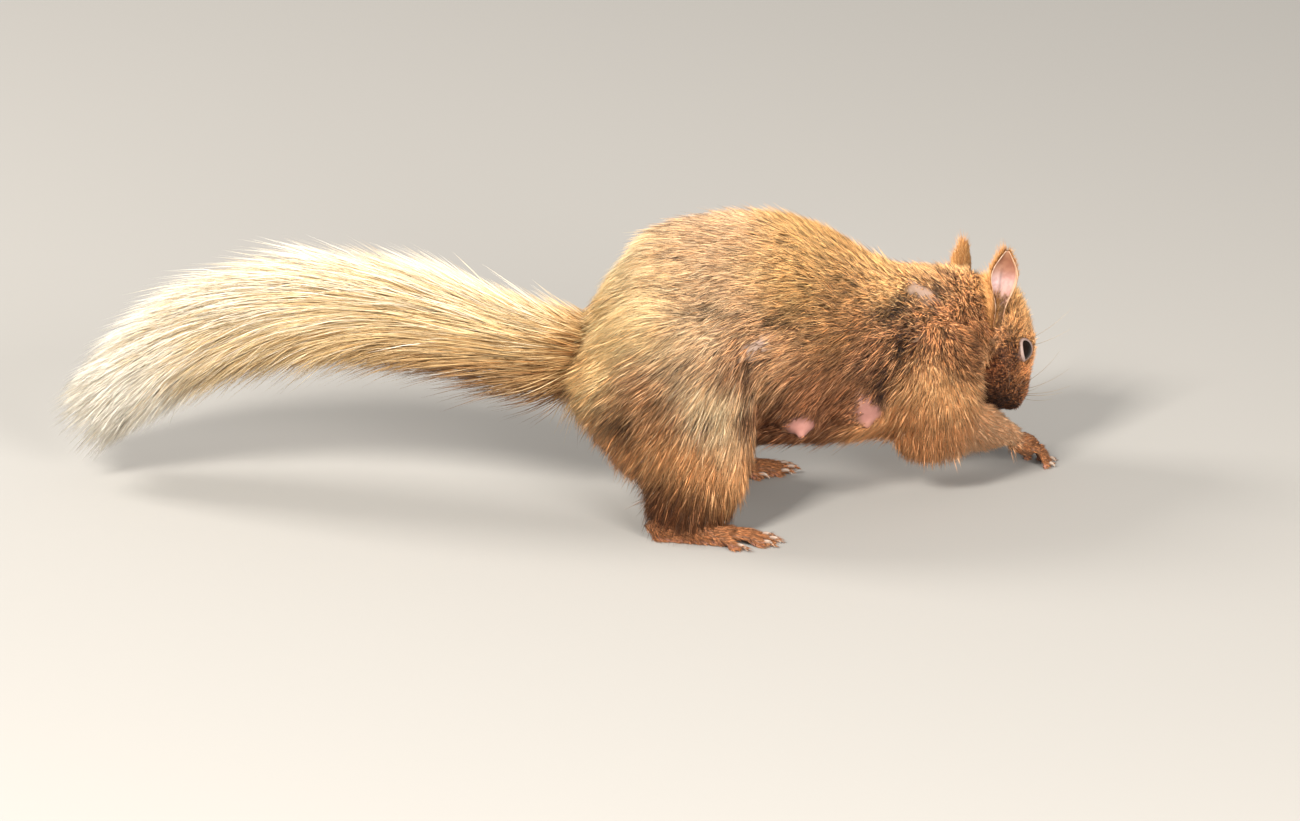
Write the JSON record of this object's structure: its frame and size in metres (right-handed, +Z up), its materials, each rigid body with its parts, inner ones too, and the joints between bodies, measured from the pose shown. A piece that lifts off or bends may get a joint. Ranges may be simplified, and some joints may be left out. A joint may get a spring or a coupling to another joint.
{
  "type": "red squirrel",
  "caption": "Life-size tree squirrel standing still on all fours, back arched, nose down to the ground, long bushy tail held straight out behind and drooping at its tip.",
  "frame": {"origin": "on the floor, under the centre of the whole animal's bounding box", "axes": "+X towards the head, the way the animal faces; +Y to its left; +Z up"},
  "size_m": [0.382, 0.1322, 0.1168],
  "materials": {
    "coat": "matt fur",
    "face_coat": "matt short fur",
    "tail_hair": "matt long hair",
    "foot_coat": "matt",
    "ear_skin": "satin",
    "eye": "wet gloss"
  },
  "bodies": {
    "root": {"torso": "coat", "neck": "coat", "head": "face_coat", "tail": "tail_hair", "ear_right": "ear_skin", "ear_left": "ear_skin", "eye_right": "eye", "eye_left": "eye", "haunch_right": "coat", "haunch_left": "coat", "hind_foot_right": "foot_coat", "hind_foot_left": "foot_coat", "foreleg_right": "coat", "foreleg_left": "coat", "forepaw_right": "foot_coat", "forepaw_left": "foot_coat"}
  },
  "joints": []
}
